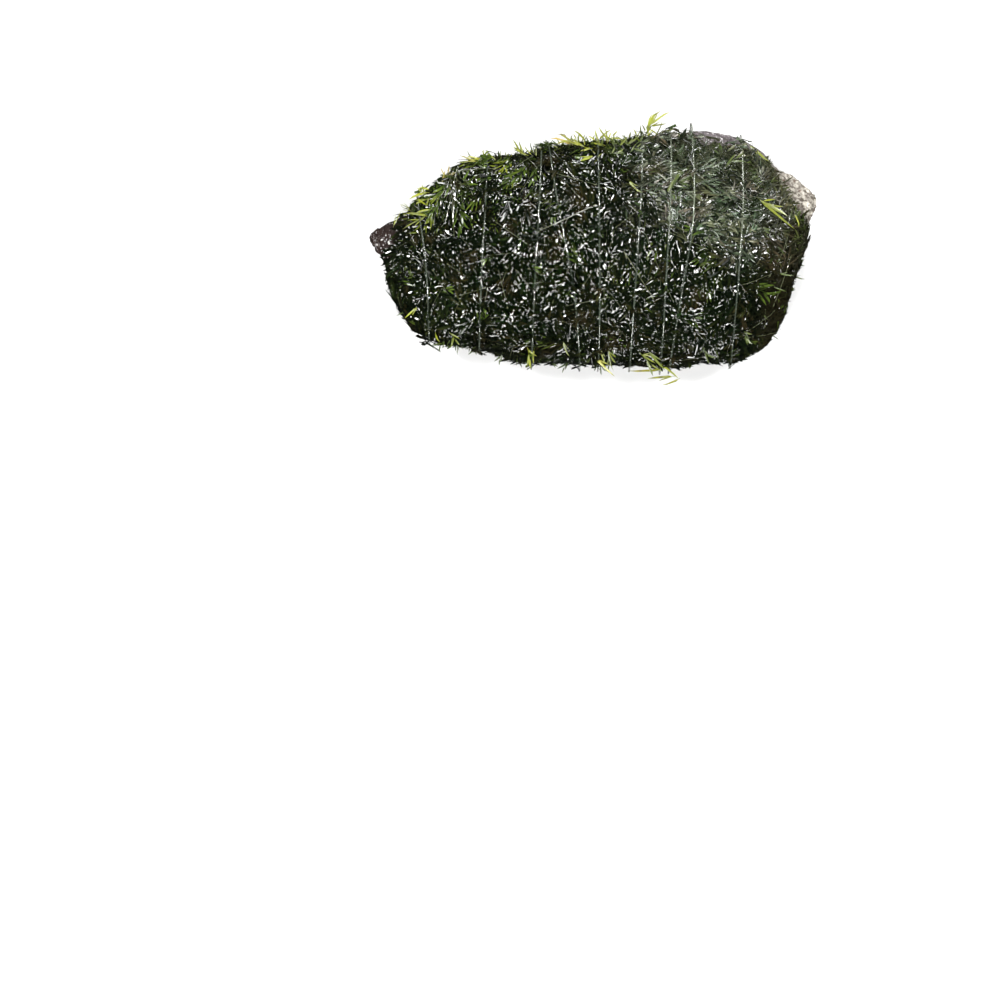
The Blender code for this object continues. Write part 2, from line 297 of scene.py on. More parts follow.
# %% Ask the stone and the mat
def merged_copy(node):
    """The node's triangles joined at their shared corners."""
    bm = bmesh.new()
    bm.from_mesh(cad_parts[node].data)
    bmesh.ops.remove_doubles(bm, verts=bm.verts, dist=0.001 * MM)
    return bm


class Skin:
    """A surface that can be asked for its nearest point and its smooth outward direction there."""

    def __init__(self, bm):
        bmesh.ops.triangulate(bm, faces=bm.faces[:])
        bm.normal_update()
        bm.faces.ensure_lookup_table()
        self.tree = BVHTree.FromBMesh(bm)
        self.corners = np.array([[v.co[:] for v in f.verts] for f in bm.faces])
        self.directions = np.array([[v.normal[:] for v in f.verts] for f in bm.faces])

    def nearest(self, points):
        """For points in metres: the skin's points, and its directions eased from corner to corner."""
        found = [self.tree.find_nearest(Vector(p)) for p in points]
        places = np.array([f[0][:] for f in found])
        index = np.array([f[2] for f in found])
        a, b, c = (self.corners[index, k] for k in range(3))
        across = np.cross(b - a, c - a)
        total = (across * across).sum(1) + 1e-30
        share_b = (np.cross(places - a, c - a) * across).sum(1) / total
        share_c = (np.cross(b - a, places - a) * across).sum(1) / total
        shares = np.stack([1 - share_b - share_c, share_b, share_c], 1)[..., None]
        smooth = (self.directions[index] * shares).sum(1)
        return places, smooth / np.linalg.norm(smooth, axis=1, keepdims=True)


stone_skin = Skin(merged_copy("stone"))
mat_skin = Skin(merged_copy("moss_mat"))
DEEPEST_MM = 4.0


def moss_depth(places, directions):
    """How far the mat's outside stands above the stone at each place, in metres; 0 where it is bare."""
    depths = []
    for place, direction in zip(places, directions):
        start = Vector(place) + Vector(direction) * DEEPEST_MM * MM
        hit = mat_skin.tree.ray_cast(start, -Vector(direction), DEEPEST_MM * MM)
        depths.append(0.0 if hit[0] is None else DEEPEST_MM * MM - hit[3])
    return np.array(depths)


def ramp(values, low, high):
    """0 below low, 1 above high, and smooth between, for arrays."""
    share = np.clip((values - low) / (high - low), 0.0, 1.0)
    return share * share * (3.0 - 2.0 * share)


FACET_SLANT = 0.38


def beyond_ridge(places):
    """1 on the far side of the ridge, which runs aslant over the stone; places are in metres."""
    x, y = places[..., 0] / MM, places[..., 1] / MM
    return ramp(y + FACET_SLANT * x, 4.5, 8.5)


def slanting_facet(places):
    """1 on the far right facet, which leans away and is less wet."""
    return beyond_ridge(places) * ramp(places[..., 0] / MM, -1.0, 5.0)


def worn_bare(places):
    """1 where the stone shows: on its far right shoulder, its blunt tip and at a spot on the far left."""
    x, y = places[..., 0] / MM, places[..., 1] / MM
    shoulder = ramp(y + 0.12 * x, 13.6, 16.2) * ramp(x, 6.0, 10.0)
    left_spot = 1.0 - ramp(np.hypot((x + 20.8) / 3.6, (y - 10.2) / 2.6), 0.6, 1.0)
    tip = ramp(x + 0.35 * y, 27.5, 28.4) * ramp(y + 0.3 * (x - 28.0), 3.8, 5.2)
    low_edge = 0.6 * ramp(-y, 13.8, 15.4) * ramp(x, 4.0, 8.0) * (1.0 - ramp(x, 22.0, 25.0))
    return np.maximum.reduce([shoulder, left_spot, tip, low_edge])


def along_skin(headings, directions):
    """The headings turned into the skin's own plane, one unit long."""
    headings = headings - directions * (headings * directions).sum(1, keepdims=True)
    return headings / np.linalg.norm(headings, axis=1, keepdims=True)


print("stone faces:", len(stone_skin.corners), "mat faces:", len(mat_skin.corners))


def finish_piece(name, mesh, finish, node="moss_mat"):
    """Links a finished mesh, gives it its material, and lets it ride on the part in place of its node."""
    piece = bpy.data.objects.new(name, mesh)
    bpy.context.scene.collection.objects.link(piece)
    mesh.materials.append(finish.material)
    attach(piece, ROOT)
    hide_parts(node)
    print(name, len(mesh.polygons), "faces")


# %% [markdown]
# ## The stone
#
# A broken pebble has large plain faces and a fine, grainy skin. The CAD solid has the faces. Its grain
# could be a bump map alone, but the tips show in outline, so a merged copy is divided finely and each
# point is moved in or out by noise at three sizes: dents, grit and grains. The worn flat underneath is
# left alone, because the stone rests on it.

# %% Roughen the stone's skin
DENT_MM, GRIT_MM, GRAIN_MM, CRUMB_MM = 2.6, 0.9, 0.4, 0.48
TIP_STARTS_MM = 24.0


def grained(place_mm):
    """How far the skin stands out at a place, in millimetres."""
    dents = noise.noise(place_mm / DENT_MM)
    grit = noise.noise(place_mm / GRIT_MM + Vector((7.0, 3.0, 1.0)))
    grains = noise.noise(place_mm / GRAIN_MM + Vector((1.0, 9.0, 4.0)))
    coarse = 0.05 + 0.22 * min(1.0, max(0.0, (place_mm.x - TIP_STARTS_MM) / 2.0))
    corners = noise.voronoi(place_mm / CRUMB_MM)[0]
    return 0.16 * dents + 0.08 * grit + 0.05 * grains + coarse * (corners[1] - corners[0] - 0.3)


def make_stone():
    bm = merged_copy("stone")
    for _ in range(2):
        bmesh.ops.subdivide_edges(bm, edges=bm.edges[:], cuts=1, smooth=0.6, use_grid_fill=True)
        bmesh.ops.triangulate(bm, faces=bm.faces[:])
    at_tip = [e for e in bm.edges if min(v.co.x for v in e.verts) > (TIP_STARTS_MM - 0.5) * MM]
    bmesh.ops.subdivide_edges(bm, edges=at_tip, cuts=2)
    bmesh.ops.triangulate(bm, faces=bm.faces[:])
    bm.normal_update()
    moves = []
    for vert in bm.verts:
        above_flat = min(1.0, max(0.0, (vert.co.z / MM - 0.05) / 0.8))
        moves.append(vert.normal * (grained(vert.co / MM) - 0.12) * MM * above_flat)
    for vert, move in zip(bm.verts, moves):
        vert.co += move
        vert.co.z = max(vert.co.z, 0.0)
    mesh = as_mesh(bm, "stone_skin")
    mesh.shade_smooth()
    return mesh


stone_mesh = make_stone()
print("the stone's points:", len(stone_mesh.vertices))

# %% [markdown]
# The stone is wet and nearly black where the moss has kept it damp, grey and purple along the far
# shoulder, beige and drier at the blunt tip, and dark brown with bright grains on the thin left nose. Each
# tone is a mask on the place, broken up by noise so that no edge is clean. Pale and dark mineral grains
# lie over all of them, and on the nose each grain is also raised, so that it has a spark of its own. A
# cluster of the nose's grains is painted white, as painted glints.


# %% Finish the stone
def stone_finish():
    rock = Finish("wet_grainy_stone")
    x, y = rock.along("X"), rock.along("Y")
    broad = rock.cloud(5.0, 4.0, 0.6)
    fine = rock.cloud(0.8, 4.0, 0.65)
    grains = rock.cells(0.42)
    wet_dark = rock.blend(fine, (0.003, 0.002, 0.002), (0.04, 0.033, 0.03))
    rusty = rock.step(rock.cloud(2.2, 3.0, 0.6), 0.5, 0.68)
    wet_dark = rock.blend(rusty * 0.8, wet_dark, (0.022, 0.011, 0.007))
    nose = rock.step(x + 0.6 * y, -23.5, -27.0)
    grain = rock.cells(0.75)
    wet_dark = rock.blend(nose * 0.7, wet_dark, (0.024, 0.015, 0.013))
    shoulder = rock.step(y + 5.0 * broad, 11.5, 15.5)
    purple = rock.blend(fine, (0.022, 0.018, 0.021), (0.24, 0.21, 0.215))
    tone = rock.blend(shoulder, wet_dark, purple)
    tip = rock.step(x + 3.0 * broad, 24.6, 27.0)
    crumb = rock.node("ShaderNodeSeparateColor", {}, {0: rock.cells(CRUMB_MM, gives="Color")}, gives=0)
    beige = rock.blend(crumb, (0.07, 0.056, 0.042), (0.46, 0.43, 0.37))
    sand = rock.node("ShaderNodeSeparateColor", {}, {0: rock.cells(0.26, gives="Color")}, gives=1)
    beige = rock.blend(rock.step(sand, 0.55, 0.95) * 0.8, beige, (0.06, 0.045, 0.034))
    rust = rock.step(rock.cells(0.9), 0.3, 0.14)
    beige = rock.blend(rust * 0.75, beige, (0.09, 0.048, 0.028))
    tone = rock.blend(tip, tone, beige)
    # Painted glints: a cluster of white dots on the nose.
    painted_glint_dots = nose * rock.step(grain, 0.24, 0.15) * rock.step(x - 0.8 * y, -31.5, -29.5)
    tone = rock.blend(painted_glint_dots * rock.step(fine, 0.38, 0.46), tone, (0.75, 0.73, 0.7))
    specks = rock.step(grains, 0.26, 0.12) * rock.step(fine, 0.45, 0.6)
    tone = rock.blend(specks * 0.25, tone, (0.4, 0.36, 0.32))
    pits = rock.step(grain, 0.16, 0.06)
    tone = rock.blend(pits * 0.75, tone, (0.02, 0.016, 0.013))
    dull = 0.05 + 0.05 * fine * (1.0 - nose) + 0.4 * tip
    swells = rock.cloud(0.75, 1.0)
    bumps = rock.relief(swells - nose * (0.8 * grain * grain + 0.5 * swells), 0.5)
    rock.sets(Base_Color=tone, Roughness=dull, Normal=bumps)
    return rock


finish_piece("stone_skin", stone_mesh, stone_finish(), "stone")

# %% [markdown]
# ## The felt under the fronds
#
# Between the fronds one sees old stems and dead leaves, matted into a dark felt. It is the mat's own
# form, sunk towards the stone, so that no gap ever shows through the fronds. It is divided and roughened
# so that its edge is ragged.

# %% Sink the mat into a felt
FELT_SHARE = 0.5
SUNK_MM = 0.9


def make_felt():
    bm = merged_copy("moss_mat")
    bmesh.ops.subdivide_edges(bm, edges=bm.edges[:], cuts=2, smooth=0.3, use_grid_fill=True)
    bmesh.ops.triangulate(bm, faces=bm.faces[:])
    points = np.array([v.co[:] for v in bm.verts])
    places, directions = stone_skin.nearest(points)
    for vert, place, direction, bare in zip(bm.verts, places, directions, worn_bare(places)):
        base = Vector(place)
        ragged = 0.22 * noise.fractal(vert.co / (0.8 * MM), 0.8, 2.0, 3)
        sunk = SUNK_MM * bare * (0.6 + noise.noise(vert.co / (2.2 * MM)))
        vert.co = base + (vert.co - base) * FELT_SHARE + Vector(direction) * (ragged - sunk) * MM
    return as_mesh(bm, "moss_felt")


def felt_finish():
    felt = Finish("matted_moss_felt")
    clumps = felt.cloud(1.6, 4.0, 0.6)
    threads = felt.cloud(0.35, 3.0, 0.6, 1.5)
    tone = felt.blend(clumps, (0.006, 0.008, 0.004), (0.03, 0.026, 0.012))
    tone = felt.blend(threads * clumps, tone, (0.045, 0.055, 0.018))
    tufts = felt.relief(threads, 0.25)
    felt.sets(Base_Color=tone, Roughness=0.35 + 0.3 * threads, Specular_IOR_Level=0.15, Normal=tufts)
    return felt


finish_piece("moss_felt", make_felt(), felt_finish())

# %% [markdown]
# ## One leaf, one frond
#
# A leaf of feather moss is a narrow blade, two to three millimetres long, with a midrib. A frond is a
# thin stem with such blades in two rows, like a feather. Tens of thousands of blades are seen, so each
# must be cheap: a sphere of three sides and three steps is already a closed pointed blade of twelve
# triangles, and stretching it, moving its widest place and bending it does the rest. Each point also
# notes how far to the side of its blade it lies, which the finish needs to round the blade's back.

# %% Shape a leaf and build fronds from it
random.seed(11)
LEAF_STEPS = 3


def add_leaf(bm, root, heading, length, width, pitch, roll, arch, bend, crown):
    """Adds one blade from its root; gives its points, and -1 to 1 for how far to the side each is.

    Angles are in degrees, lengths in millimetres."""
    made = bmesh.ops.create_uvsphere(bm, u_segments=3, v_segments=LEAF_STEPS, radius=0.5)["verts"]
    sides = []
    for vert in made:
        along = vert.co.z + 0.5
        turned = math.atan2(vert.co.y, vert.co.x) - math.radians(30.0)
        out = math.hypot(vert.co.x, vert.co.y) * 2.0
        moved = along**1.15
        slender = 1.0 - 0.42 * moved
        sides.append(out * math.cos(turned) / 0.75)
        across = out * math.cos(turned) * width * 0.62 * slender
        up = out * math.sin(turned) * width * crown
        curl = length * moved * moved
        vert.co = Vector((moved * length, across + bend * curl, up + arch * curl))
    tilt = Euler((math.radians(roll), math.radians(-pitch), 0.0)).to_matrix()
    turn = Matrix.Rotation(math.radians(heading), 3, "Z")
    bmesh.ops.transform(bm, verts=made, matrix=(turn @ tilt).to_4x4())
    bmesh.ops.translate(bm, verts=made, vec=Vector(root))
    return made, sides


def add_stem(bm, length, thickness):
    """A thin three-sided stem that tapers to the frond's tip."""
    made = bmesh.ops.create_cone(
        bm, cap_ends=True, segments=3, radius1=thickness / 2, radius2=thickness / 5, depth=length
    )["verts"]
    bmesh.ops.rotate(bm, verts=made, cent=(0, 0, 0), matrix=Matrix.Rotation(math.pi / 2, 3, "Y"))
    bmesh.ops.translate(bm, verts=made, vec=(length / 2, 0, 0))
    edges = {e for v in made for e in v.link_edges if abs(e.verts[0].co.x - e.verts[1].co.x) > length / 2}
    bmesh.ops.subdivide_edges(bm, edges=list(edges), cuts=5)


class Frond:
    """A pattern frond: its points as (along, across, up) in millimetres, and its triangles."""

    def __init__(self, length, spacing, leaf_length, leaf_width, spread, stem=0.13):
        bm = bmesh.new()
        self.length = length
        add_stem(bm, length, stem)
        bm.verts.ensure_lookup_table()
        stem_points = len(bm.verts)
        self.probes = [max(range(stem_points), key=lambda i: bm.verts[i].co.x)]
        tones, tips, sides, owners = ([value] * stem_points for value in (0.5, 0.5, 0.0, 0))

        def note(made, probe, tone, tips_made, sides_made):
            """Notes what the new blade's points carry, and which of them is asked whether it lies on moss."""
            self.probes.append(len(owners) + probe)
            owners.extend([len(self.probes) - 1] * len(made))
            tones.extend([tone] * len(made))
            tips.extend(tips_made)
            sides.extend(sides_made)

        along, side = 0.25, 1
        while along < length:
            share = along / length
            size = 0.6 + 0.4 * math.sin(math.pi * min(1.0, 0.18 + share * 0.72))
            leaf = leaf_length * size * random.uniform(0.7, 1.25)
            heading = side * (spread * (1.15 - 0.6 * share) + random.uniform(-16, 16))
            made, to_side = add_leaf(
                bm,
                (along, 0.03 * side, 0.02 * side),
                heading,
                leaf,
                width=leaf_width * random.uniform(0.85, 1.15),
                pitch=random.gauss(4, 6),
                roll=random.gauss(0, 12),
                arch=random.uniform(-0.04, 0.02),
                bend=random.uniform(-0.28, 0.28),
                crown=random.uniform(0.03, 0.1),
            )
            reach = [v.co.x for v in made]
            low, high = min(reach), max(reach)
            to_tip = [(x - low) / (high - low) for x in reach]
            note(made, int(np.argsort(reach)[-2]), random.random(), to_tip, to_side)
            along += spacing * random.uniform(0.8, 1.2)
            side = -side
        made, to_side = add_leaf(
            bm, (length * 0.94, 0, 0), 0, leaf_length * 0.6, leaf_width * 0.8, 5, 0, arch=0.0, bend=0.1, crown=0.06
        )
        note(made, len(made) - 1, 0.8, [0.8] * len(made), to_side)
        bmesh.ops.triangulate(bm, faces=bm.faces[:])
        bm.verts.index_update()
        self.points = np.array([v.co[:] for v in bm.verts])
        self.faces = np.array([[v.index for v in f.verts] for f in bm.faces])
        self.leaf_tone, self.leaf_tip, self.leaf_side = np.array(tones), np.array(tips), np.array(sides)
        self.leaf_of_face = np.array(owners)[self.faces[:, 0]]
        bm.free()


# length, blade spacing, blade length and blade width in mm, and how far the blades stand out in degrees
FROND_RANGES = [(4.0, 8.0), (0.42, 0.7), (2.0, 3.1), (0.42, 0.56), (20, 42)]
fronds = [Frond(*(random.uniform(*ends) for ends in FROND_RANGES)) for _ in range(12)]
print("fronds:", len(fronds), "patterns,", [len(f.faces) for f in fronds], "triangles")

# %% [markdown]
# ## Laying fronds on the stone
#
# Instances on a curved stone would stick out like straw. Each frond is laid instead: its stem walks over
# the stone in short steps, the stone giving the place and the upward direction at every step, and the
# blades are carried along. The height above the stone grows from root to tip, so that fronds lie on each
# other like shingles.

# %% Lay fronds along the skin
STATIONS = 7
PAST_STEM = 1.25
THINNEST_MM, LOWEST_MM = 0.3, 0.03


def walk(places, directions, headings, lengths):
    """Walks from each place along the skin; gives the stations' places, sides and up directions."""
    spots, ups, ahead = [places], [directions], headings
    for _ in range(STATIONS - 1):
        onward = spots[-1] + ahead * (lengths / (STATIONS - 1))[:, None]
        spot, up = stone_skin.nearest(onward)
        ahead = along_skin(ahead, up)
        spots.append(spot)
        ups.append(up)
    spots, ups = np.stack(spots, 1), np.stack(ups, 1)
    run = np.gradient(spots, axis=1)
    run /= np.linalg.norm(run, axis=2, keepdims=True) + 1e-12
    return spots, np.cross(ups, run), ups


def lay(pattern, places, directions, headings, sizes, low, high, rise, power=3.0):
    """The pattern laid from each place: every copy's points, in metres, and which of its blades lie on moss.

    low and high are the heights of root and tip as shares of the moss's depth; rise lifts the last part."""
    reach = pattern.length * PAST_STEM
    spots, sides, ups = walk(places, directions, headings, sizes * reach * MM)
    depths = moss_depth(spots.reshape(-1, 3), ups.reshape(-1, 3)).reshape(spots.shape[:2])
    share = np.clip(pattern.points[:, 0] / reach, 0.0, 1.0)
    at = share * (STATIONS - 1)
    first = np.minimum(at.astype(int), STATIONS - 2)
    rest = at - first

    def eased(track):
        later = rest[None, :, None] if track.ndim == 3 else rest[None]
        return track[:, first] * (1 - later) + track[:, first + 1] * later

    across = pattern.points[None, :, 1] * sizes[:, None] * MM
    flat = eased(spots) + eased(sides) * across[..., None]
    skin, up = stone_skin.nearest(flat.reshape(-1, 3))
    skin, up = skin.reshape(flat.shape), up.reshape(flat.shape)
    probed = moss_depth(skin[:, pattern.probes].reshape(-1, 3), up[:, pattern.probes].reshape(-1, 3))
    depth = np.maximum(eased(depths), THINNEST_MM * MM)
    height = depth * (low[:, None] + (high - low)[:, None] * share**0.8) + rise[:, None] * share**power
    pressed = 0.3 + 0.7 * np.clip(up[..., 2], 0.0, 1.0)
    height += pattern.points[None, :, 2] * pressed * sizes[:, None] * MM
    height = np.maximum(height, LOWEST_MM * MM)
    laid = skin + up * height[..., None]
    return laid, probed.reshape(len(places), -1) > 0


def spread_points(count, seed):
    """Even random places on the mat's outside, and the stone's skin below them."""
    chance = np.random.default_rng(seed)
    corners = mat_skin.corners
    _, directions = stone_skin.nearest(corners.mean(1))
    across = np.cross(corners[:, 1] - corners[:, 0], corners[:, 2] - corners[:, 0])
    area = np.linalg.norm(across, axis=1)
    outside = (across * directions).sum(1) / (area + 1e-20) > 0.5
    picks = chance.choice(len(corners), count, p=area * outside / (area * outside).sum())
    shares = chance.dirichlet((1.0, 1.0, 1.0), count)
    spots = (corners[picks] * shares[..., None]).sum(1)
    return (*stone_skin.nearest(spots), chance)


def heading_field(places, directions, chance, loose):
    """Where fronds point: alike within a patch, outwards near the rim, and sideways on the far facet."""
    spots = [Vector(place) for place in places / MM]
    patches = [noise.noise(spot / 9.0 + Vector((3.1, 0.0, 0.0))) * 2.6 for spot in spots]
    swirls = [noise.noise(spot / 3.5) * 1.4 for spot in spots]
    angles = (np.array(patches) + np.array(swirls)) * math.pi
    sideways = slanting_facet(places) > 0.5
    angles = np.where(sideways, -0.2 + math.pi * (chance.random(len(places)) < 0.35), angles)
    angles += chance.normal(0.0, loose, len(places))
    flat = np.stack([np.cos(angles), np.sin(angles), np.zeros(len(places))], 1)
    outward = places * np.array([0.55, 1.0, 0.0]) / MM
    far_out = np.clip((np.linalg.norm(outward, axis=1) - 11.0) / 4.0, 0.0, 1.0)[:, None]
    outward /= np.linalg.norm(outward, axis=1, keepdims=True) + 1e-9
    mixed = flat * (1 - 0.55 * far_out) + outward * 0.7 * far_out
    return along_skin(mixed, directions)


HUES_PER_TONE = 7.3
OFF_FLOOR_MM = 0.05
CREASE_DEGREES = 60


class Bunch:
    """Many laid fronds gathered into one mesh."""

    def __init__(self, name, painted_depth_light=1.0):
        self.name, self.painted_depth_light = name, painted_depth_light
        self.points, self.faces = [], []
        self.stored = {"fresh": [], "tone": [], "side": [], "hue": []}
        self.count = 0

    def add(self, pattern, laid, fresh, tone, wanted=None, even=False):
        """Adds the copies, with all their blades or the wanted ones. An even one is as young at its root."""
        copies, size = laid.shape[:2]
        wanted = np.ones((copies, len(pattern.probes)), bool) if wanted is None else wanted
        offsets = self.count + np.arange(copies)[:, None, None] * size
        self.points.append(laid.reshape(-1, 3))
        kept = wanted[:, pattern.leaf_of_face]
        self.faces.append((pattern.faces[None] + offsets)[kept])
        tips = 0.55 + 0.45 * pattern.leaf_tip
        along = np.clip(pattern.points[:, 0] / pattern.length, 0, 1) ** 2
        young = np.ones_like(tips) if even else tips * (0.35 + 0.65 * along)
        self.stored["fresh"].append((fresh[:, None] * young).reshape(-1))
        # Painted shade: the lower layers, and each blade towards its root, are painted darker, as where other
        # blades shade them.
        painted_lit = self.painted_depth_light * (0.45 + 0.55 * pattern.leaf_tip)
        self.stored["tone"].append((painted_lit * (0.6 * pattern.leaf_tone + 0.4 * tone[:, None])).reshape(-1))
        self.stored["side"].append(np.tile(pattern.leaf_side, copies))
        self.stored["hue"].append(np.repeat(tone * HUES_PER_TONE % 1.0, size))
        self.count += copies * size

    def mesh(self):
        points, faces = np.concatenate(self.points), np.concatenate(self.faces)
        used, faces = np.unique(faces, return_inverse=True)
        points, faces = points[used], faces.reshape(-1, 3)
        points[:, 2] = np.maximum(points[:, 2], OFF_FLOOR_MM * MM)
        made = bpy.data.meshes.new(self.name)
        made.vertices.add(len(points))
        made.vertices.foreach_set("co", points.astype(np.float32).ravel())
        made.loops.add(faces.size)
        made.loops.foreach_set("vertex_index", faces.astype(np.int32).ravel())
        made.polygons.add(len(faces))
        made.polygons.foreach_set("loop_start", np.arange(0, faces.size, 3, dtype=np.int32))
        made.update(calc_edges=True)
        for name, values in self.stored.items():
            layer = made.attributes.new(name, "FLOAT", "POINT")
            layer.data.foreach_set("value", np.concatenate(values)[used].astype(np.float32))
        made.shade_smooth()
        made.set_sharp_from_angle(angle=math.radians(CREASE_DEGREES))
        return made


# %% [markdown]
# The blades are wet, and the film of water rounds their backs. A round back mirrors each lamp as one thin
# line along the blade, so the bump's main term is that roundness. A sine of slow noise and some soft noise
# ripple it, so that the lines break. The colour follows three numbers that every point carries: how fresh
# the blade is, from old near-black to the yellow-green of new tips, and a tone and a hue of its own, so
# that no two neighbours match. The tone also holds painted shade: it is darker on the lower layers and
# towards each blade's root. The far right facet is drier, greyer and duller, and its blades are painted
# lighter there, their edges most, as painted sheen. Towards the low right end the blades are painted
# darker, as painted shade.


# %% Finish the blades
WET_HUES = [
    (0.0, (0.017, 0.044, 0.01)),
    (0.3, (0.029, 0.04, 0.011)),
    (0.7, (0.037, 0.043, 0.011)),
    (1.0, (0.035, 0.025, 0.01)),
]
# The far facet's blades: a drier grey-green, painted lighter as painted sheen.
DRY_SHEEN_HUES = [
    (0.0, (0.12, 0.23, 0.1)),
    (0.3, (0.39, 0.48, 0.32)),
    (0.55, (0.64, 0.68, 0.5)),
    (0.75, (0.3, 0.32, 0.12)),
    (0.88, (0.44, 0.395, 0.34)),
    (1.0, (0.25, 0.18, 0.095)),
]


def blade_finish():
    blade = Finish("wet_moss_blade")
    fresh, tone, hue, side = (blade.stored(name) for name in ("fresh", "tone", "hue", "side"))
    x, y = blade.along("X"), blade.along("Y")
    patch = blade.cloud(4.0, 2.0)
    cells = blade.cloud(0.12, 2.0)
    broken = 9.0 * blade.cloud(5.0, 3.0, 0.6)
    # 1 on the far right facet, which is drier and duller, and whose blades are painted lighter as painted sheen.
    drier_and_sheen = blade.step(y + FACET_SLANT * x + broken, 8.0, 13.5) * blade.step(x + broken, 8.0, 13.5)
    wet_hue = blade.node("ShaderNodeValToRGB", {"stops": WET_HUES}, {0: hue})
    dry_sheen_hue = blade.node("ShaderNodeValToRGB", {"stops": DRY_SHEEN_HUES}, {0: hue})
    old = blade.blend(tone * tone * tone, (0.0005, 0.0008, 0.0003), wet_hue)
    painted_lit = blade.step(tone, 0.06, 0.62)
    # Painted sheen: on the far facet the blades' edges are painted lighter.
    painted_edge_sheen = blade.step(side * side, 0.3, 0.9)
    grey = blade.blend(painted_lit * painted_lit * (0.3 + 1.1 * painted_edge_sheen), (0.002, 0.004, 0.001), dry_sheen_hue)
    grey = blade.blend(blade.step(blade.cloud(1.8, 2.0), 0.42, 0.75) * 0.9, grey, (0.012, 0.018, 0.006))
    old = blade.blend(drier_and_sheen, old, grey)
    # Painted shade: towards the low right end, where the stone turns away, the blades are painted dark brown.
    painted_low_right_shade = blade.step(x + 0.5 * broken, 23.5, 26.5) * blade.step(y, 7.5, 4.5)
    old = blade.blend(painted_low_right_shade * 0.85, old, (0.009, 0.007, 0.003))
    at_tip = blade.step(x + 0.3 * y, 26.0, 28.0) * blade.step(y, 4.0, 6.0)
    old = blade.blend(at_tip * 0.8, old, blade.blend(tone, (0.01, 0.01, 0.004), (0.17, 0.16, 0.075)))
    brown = blade.step(patch + 0.3 * tone, 0.66, 0.85)
    old = blade.blend(brown * 0.7, old, blade.blend(drier_and_sheen * tone, (0.02, 0.014, 0.006), (0.1, 0.075, 0.045)))
    green = blade.blend(tone, (0.006, 0.014, 0.002), (0.09, 0.14, 0.02))
    young = blade.blend(tone, (0.07, 0.09, 0.01), (0.27, 0.3, 0.03))
    colour = blade.blend(blade.step(fresh, 0.04, 0.3), old, green)
    colour = blade.blend(blade.step(fresh, 0.35, 0.7), colour, young)
    colour = blade.blend(cells * 0.25, colour, (0.008, 0.014, 0.005))
    swirl = blade.cloud(3.0, 1.0, 0.5, 0.5)
    rows = blade.node("ShaderNodeMath", {"operation": "SINE"}, {0: swirl * 30.0})
    film = 1.0 - side * side + 0.02 * rows + 0.08 * blade.cloud(0.9, 1.0)
    backs = blade.relief(film * (1.0 - 0.2 * drier_and_sheen), 0.105)
    blade.sets(Base_Color=colour, Roughness=0.04 + 0.14 * drier_and_sheen, IOR=1.5, Normal=backs)
    return blade


wet_blade = blade_finish()

# %% [markdown]
# ## The mat of fronds
#
# Three layers are laid. The lowest is short and fills the gaps, and it is painted dark, as painted shade
# deep in the moss; the middle one makes the body and is painted a little darker than the top, and the top
# one is looser and lets some tips rise. Young green sits mostly at the far left rim. Where the stone shows
# through, blades are left out by chance, so the edge of the moss stays ragged.

# %% Lay the three layers
LAYERS = [
    # name, fronds, seed, root height, tip height, rise in mm, how loose, how fresh, how lit (painted shade)
    ("moss_low", 1000, 5, 0.1, 0.6, 0.0, 0.9, 0.02, 0.3),
    ("moss_mid", 1200, 6, 0.25, 0.85, 0.1, 0.6, 0.04, 0.65),
    ("moss_top", 1000, 7, 0.45, 1.0, 0.2, 0.5, 0.06, 1.0),
]


def young_rim(places):
    """1 along the far left rim, where the new shoots are."""
    x, y = places[..., 0] / MM, places[..., 1] / MM
    return ramp(y - 0.36 * np.minimum(x, 0.0), 12.5, 15.8) * (1.0 - ramp(x, 6.0, 10.0))


def make_layer(name, count, seed, low, high, rise, loose, fresh, painted_depth_light):
    """One layer; the heights of root and tip are shares of the moss's depth."""
    places, directions, chance = spread_points(count, seed)
    headings = heading_field(places, directions, chance, loose)
    sizes = chance.uniform(0.75, 1.1, count) * (1.0 - 0.22 * slanting_facet(places))
    roots, root_up = stone_skin.nearest(places - headings * (sizes * 2.6 * MM)[:, None])
    lifts = rise * chance.random(count)
    kinds = chance.integers(0, len(fronds), count)
    freshness = chance.gamma(0.5, fresh, count)
    freshness += young_rim(roots) * chance.uniform(0.1, 0.9, count) ** 1.5
    patches = np.array([noise.noise(Vector(p) / (2.5 * MM)) for p in roots])
    freshness += beyond_ridge(roots) * 0.42 * np.maximum(patches, 0.0)
    shades = chance.random(count)
    shades += 0.3 * young_rim(roots) * (1.0 - shades)
    bunch = Bunch(name, painted_depth_light)
    for kind, pattern in enumerate(fronds):
        mine = kinds == kind
        copies = mine.sum()
        laid, mossy = lay(
            pattern, roots[mine], root_up[mine], headings[mine], sizes[mine],
            np.full(copies, low), high * chance.uniform(0.85, 1.1, copies), lifts[mine] * MM,
        )
        bare = worn_bare(laid[:, pattern.probes])
        mossy &= chance.random(bare.shape) >= bare
        bunch.add(pattern, laid, np.clip(freshness[mine], 0, 1), shades[mine], mossy)
    return bunch.mesh()


for name, *numbers in LAYERS:
    finish_piece(name, make_layer(name, *numbers), wet_blade)

# %% [markdown]
# ## Blades over the line
#
# The line was wound on fresh moss, and the moss has grown on: here and there a blade has worked its way
# over the line and hides a stretch of it. Short fronds are rooted beside the line and laid across it,
# each as high as the line stands above the stone there.

# %% Lay fronds over the line
OVER_LINE_COUNT = 230
OVER_MM = 0.22
BROAD_SIDE_MM = 9.0


